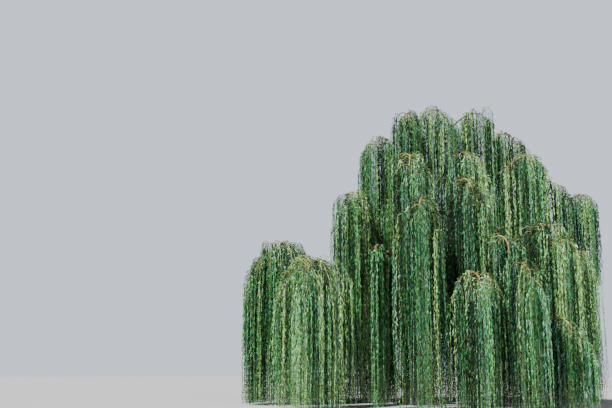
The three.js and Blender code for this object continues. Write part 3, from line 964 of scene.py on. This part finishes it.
def set_surface(tree, shader, finish, drift, colour, position):
    """Gives a shader its finish, with drifts of tone over its colour."""
    tone = add(
        tree, "ShaderNodeGroup", {"node_tree": drift},
        Colour=colour, Position=position, Drift_size=finish.drift_size, Strength=finish.strength,
    )
    tree.links.new(tone.outputs["Colour"], shader.inputs["Base Color"])
    shader.inputs["Roughness"].default_value = finish.roughness


def leaf_material(name, upper, under, drift):
    material, tree, shader = new_material(name)
    position = tree.nodes.new("ShaderNodeTexCoord").outputs["Object"]
    facing = tree.nodes.new("ShaderNodeNewGeometry").outputs["Backfacing"]
    set_surface(tree, shader, LEAF_FINISH, drift, two_colours(tree, facing, upper, under), position)
    shader.inputs["Specular IOR Level"].default_value = LEAF_GLOSS
    return material


def twig_material(name, colour, drift):
    material, tree, shader = new_material(name)
    position = tree.nodes.new("ShaderNodeTexCoord").outputs["Object"]
    set_surface(tree, shader, TWIG_FINISH, drift, srgb(colour), position)
    return material


def bark_material(name, ridges, clefts, finish, drift):
    """Bark whose clefts are darker than its ridges, after the relief kept in the mesh: painted shade in the
    clefts.
    """
    material, tree, shader = new_material(name)
    grain = add(tree, "ShaderNodeAttribute", {"attribute_name": "grain"}).outputs["Vector"]
    ridge = add(tree, "ShaderNodeAttribute", {"attribute_name": "ridge"}).outputs["Fac"]
    share = add(tree, "ShaderNodeMapRange", Value=ridge, From_Min=-1.0, From_Max=RIDGE_TOP).outputs["Result"]
    set_surface(tree, shader, finish, drift, two_colours(tree, share, clefts, ridges), grain)
    scale = FINE_GRAIN / finish.drift_size
    fine = add(tree, "ShaderNodeTexNoise", Vector=grain, Scale=scale, Detail=6.0, Roughness=0.7).outputs[0]
    bump = add(
        tree, "ShaderNodeBump", Height=fine, Strength=FINE_GRAIN_STRENGTH, Distance=FINE_GRAIN_DEPTH
    ).outputs[0]
    tree.links.new(bump, shader.inputs["Normal"])
    return material


# Assembly
def finish_piece(piece, nodes):
    for name in ("radius", "leaf"):
        if name in piece.data.attributes:
            piece.data.attributes.remove(piece.data.attributes[name])
    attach(piece, "root")
    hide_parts(*nodes)


def build_bark(limbs, drift):
    """The bole, the main limbs and the boughs, each as one piece with its relief."""
    tree = relief_tree()
    old_bark = bark_material("old_bark", *OLD_BARK_COLOURS, OLD_BARK_FINISH, drift)
    young_bark = bark_material("young_bark", *YOUNG_BARK_COLOURS, YOUNG_BARK_FINISH, drift)
    mains = list(CROWN["trunk"])
    boughs = [name for name in PLUMES if name not in mains]
    trunk = joined_tubes("trunk_bark", [bole_tube()])
    applied(trunk, tree, material=old_bark, **BOLE_RELIEF._asdict())
    finish_piece(trunk, ["trunk"])
    limb_piece = joined_tubes("limb_bark", [limb_tube(limbs[name]) for name in mains])
    applied(limb_piece, tree, material=old_bark, **LIMB_RELIEF._asdict())
    finish_piece(limb_piece, mains)
    bough_piece = joined_tubes("bough_bark", [limb_tube(limbs[name]) for name in boughs])
    applied(bough_piece, tree, material=young_bark, **BOUGH_RELIEF._asdict())
    finish_piece(bough_piece, [f"bough_{name}" for name in boughs])


def build_foliage(limbs, drift):
    """The stems, and in each band of the crown the twigs of the lit sprays, the twigs of the sprays in
    painted shade in a darker colour that is painted shade too, and the leaves in one piece for each tone,
    painted sunlight and painted shade among them."""
    nodes = [f"foliage_{name}" for name in PLUMES]
    twigs = twig_tree()
    leaves = leaf_tree()
    leaf = leaf_object()
    young_stem = twig_material("young_stem", STEM_COLOUR, drift)
    young_twig = twig_material("young_twig", TWIG_COLOUR, drift)
    shaded_twig = twig_material("shaded_twig", SHADED_TWIG_COLOUR, drift)
    finishes = {tone: leaf_material(f"leaf_{tone}", *colours, drift) for tone, colours in LEAF_TONES.items()}
    stems = applied(lines_object("stems", stem_lines(limbs)), twigs, sides=STEM_SIDES, material=young_stem)
    finish_piece(stems, nodes)
    seed = SEED
    for band, by_tone in grow_foliage(limbs).items():
        # The twigs of the sprays in the darkest tone get the darker twig colour, painted shade as well
        lit = [shoot for tone, shoots in by_tone.items() if tone != "deep" for shoot in shoots]
        kinds = {"twigs": (lit, young_twig), "shaded_twigs": (by_tone["deep"], shaded_twig)}
        for kind, (shoots, finish) in kinds.items():
            piece = applied(lines_object(f"{kind}_{band}", shoots), twigs, material=finish)
            finish_piece(piece, nodes)
        for tone, shoots in by_tone.items():
            seed += SEED_STEP
            piece = lines_object(f"leaves_{tone}_{band}", shoots)
            applied(piece, leaves, leaf=leaf, seed=seed, material=finishes[tone])
            finish_piece(piece, nodes)
    bpy.data.objects.remove(leaf)


# Surroundings
def build_floor():
    bpy.ops.mesh.primitive_circle_add(vertices=96, radius=FLOOR_RADIUS, fill_type="NGON")
    floor = bpy.context.object
    floor.name = "floor"
    material, tree, shader = new_material("floor")
    shader.inputs["Base Color"].default_value = FLOOR_COLOUR
    shader.inputs["Roughness"].default_value = FLOOR_ROUGHNESS
    floor.data.materials.append(material)


def build_sky():
    world = bpy.data.worlds.new("soft sky")
    world.use_nodes = True
    background = world.node_tree.nodes["Background"]
    background.inputs["Color"].default_value = SKY_COLOUR
    seen = world.node_tree.nodes.new("ShaderNodeLightPath").outputs["Is Camera Ray"]
    strength = add(world.node_tree, "ShaderNodeMapRange", Value=seen, To_Min=SKY_LIGHT, To_Max=SKY_SEEN)
    world.node_tree.links.new(strength.outputs["Result"], background.inputs["Strength"])
    bpy.context.scene.world = world


def build_suns():
    for name, sun in SUNS.items():
        light = bpy.data.lights.new(name, "SUN")
        light.energy = sun.strength
        light.angle = math.radians(sun.spread)
        light.color = sun.colour
        lamp = bpy.data.objects.new(name, light)
        lamp.rotation_euler = [math.radians(angle) for angle in sun.turn]
        bpy.context.scene.collection.objects.link(lamp)


def build_camera():
    """The camera, which stands where the photo was taken from."""
    camera = bpy.data.objects.new("camera", bpy.data.cameras.new("camera"))
    camera.data.lens = LENS
    camera.data.sensor_width = SENSOR_WIDTH
    camera.location = CAMERA_PLACE
    camera.rotation_euler = (math.radians(90 + CAMERA_PITCH), 0, 0)
    bpy.context.scene.collection.objects.link(camera)
    bpy.context.scene.camera = camera


limbs = grow_limbs()
drift = drift_group()
build_bark(limbs, drift)
build_foliage(limbs, drift)
build_floor()
build_sky()
build_suns()
build_camera()
